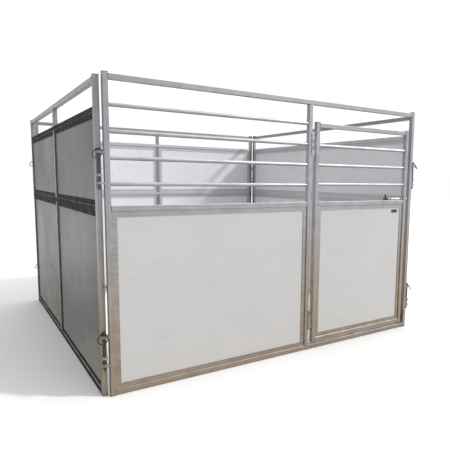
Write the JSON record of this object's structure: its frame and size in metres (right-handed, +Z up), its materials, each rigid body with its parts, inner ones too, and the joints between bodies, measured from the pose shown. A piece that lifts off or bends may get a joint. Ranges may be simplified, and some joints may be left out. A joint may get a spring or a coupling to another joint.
{
  "type": "portable animal stall",
  "caption": "Portable square horse stall of pinned tube panels with infill sheets, a barred front grille and a hinged gate with a slide bolt.",
  "frame": {"origin": "on the floor at the middle of the stall's bounding box", "axes": "+X along the front to the right, seen from outside the gate; +Y from the front to the back; +Z up"},
  "size_m": [3.2022, 3.1862, 2.2],
  "materials": {
    "tube": "satin",
    "sheet": "gloss",
    "cap": "matte",
    "steel": "satin",
    "badge": "matte"
  },
  "bodies": {
    "stall": {"left_posts": "tube", "left_top_rail": "tube", "left_inner_rails": "tube", "left_bottom_rail": "tube", "left_mid_posts": "tube", "left_channels": "tube", "left_sheets": "sheet", "right_posts": "tube", "right_top_rail": "tube", "right_inner_rails": "tube", "right_bottom_rail": "tube", "right_mid_posts": "tube", "right_channels": "tube", "right_sheets": "sheet", "back_posts": "tube", "back_top_rail": "tube", "back_inner_rails": "tube", "back_bottom_rail": "tube", "back_mid_posts": "tube", "back_channels": "tube", "back_sheets": "sheet", "front_post_left": "tube", "front_post_right": "tube", "front_middle_post": "tube", "front_top_rail": "tube", "front_mid_rail": "tube", "front_bottom_rail": "tube", "front_bars": "tube", "front_channels": "tube", "front_sheet": "sheet", "hinge_post_leaves": "steel", "hinge_pins": "steel", "hinge_post_screws": "steel", "gate_stop": "steel", "post_caps": "cap", "post_feet": "cap", "corner_lugs": "tube", "corner_spacers": "tube"},
    "gate": {"gate_hinge_stile": "tube", "gate_latch_stile": "tube", "gate_top_rail": "tube", "gate_mid_rail": "tube", "gate_bottom_rail": "tube", "gate_bars": "tube", "gate_channels": "tube", "gate_sheet": "sheet", "gate_plate": "badge", "hinge_gate_leaves": "steel", "hinge_gate_screws": "steel", "bolt_guides": "tube", "gate_caps": "cap"},
    "latch_bolt": {"latch_bolt": "steel"},
    "pin_front_left_upper": {"pin_front_left_upper": "steel"},
    "pin_front_left_lower": {"pin_front_left_lower": "steel"},
    "pin_front_right_upper": {"pin_front_right_upper": "steel"},
    "pin_front_right_lower": {"pin_front_right_lower": "steel"},
    "pin_back_left_upper": {"pin_back_left_upper": "steel"},
    "pin_back_left_lower": {"pin_back_left_lower": "steel"},
    "pin_back_right_upper": {"pin_back_right_upper": "steel"},
    "pin_back_right_lower": {"pin_back_right_lower": "steel"}
  },
  "joints": [
    {"name": "gate_hinge", "type": "hinge", "parent": "stall", "child": "gate", "pos_m": [0.256, -1.5715, 0], "axis": [0, 0, -1], "range_deg": [0, 175]},
    {"name": "bolt_slide", "type": "slide", "parent": "gate", "child": "latch_bolt", "axis": [1, 0, 0], "range_m": [-0.06, 0.028]},
    {"name": "pin_front_left_upper_lift", "type": "slide", "parent": "stall", "child": "pin_front_left_upper", "axis": [0, 0, 1], "range_m": [0, 0.3]},
    {"name": "pin_front_left_lower_lift", "type": "slide", "parent": "stall", "child": "pin_front_left_lower", "axis": [0, 0, 1], "range_m": [0, 0.3]},
    {"name": "pin_front_right_upper_lift", "type": "slide", "parent": "stall", "child": "pin_front_right_upper", "axis": [0, 0, 1], "range_m": [0, 0.3]},
    {"name": "pin_front_right_lower_lift", "type": "slide", "parent": "stall", "child": "pin_front_right_lower", "axis": [0, 0, 1], "range_m": [0, 0.3]},
    {"name": "pin_back_left_upper_lift", "type": "slide", "parent": "stall", "child": "pin_back_left_upper", "axis": [0, 0, 1], "range_m": [0, 0.3]},
    {"name": "pin_back_left_lower_lift", "type": "slide", "parent": "stall", "child": "pin_back_left_lower", "axis": [0, 0, 1], "range_m": [0, 0.3]},
    {"name": "pin_back_right_upper_lift", "type": "slide", "parent": "stall", "child": "pin_back_right_upper", "axis": [0, 0, 1], "range_m": [0, 0.3]},
    {"name": "pin_back_right_lower_lift", "type": "slide", "parent": "stall", "child": "pin_back_right_lower", "axis": [0, 0, 1], "range_m": [0, 0.3]}
  ]
}
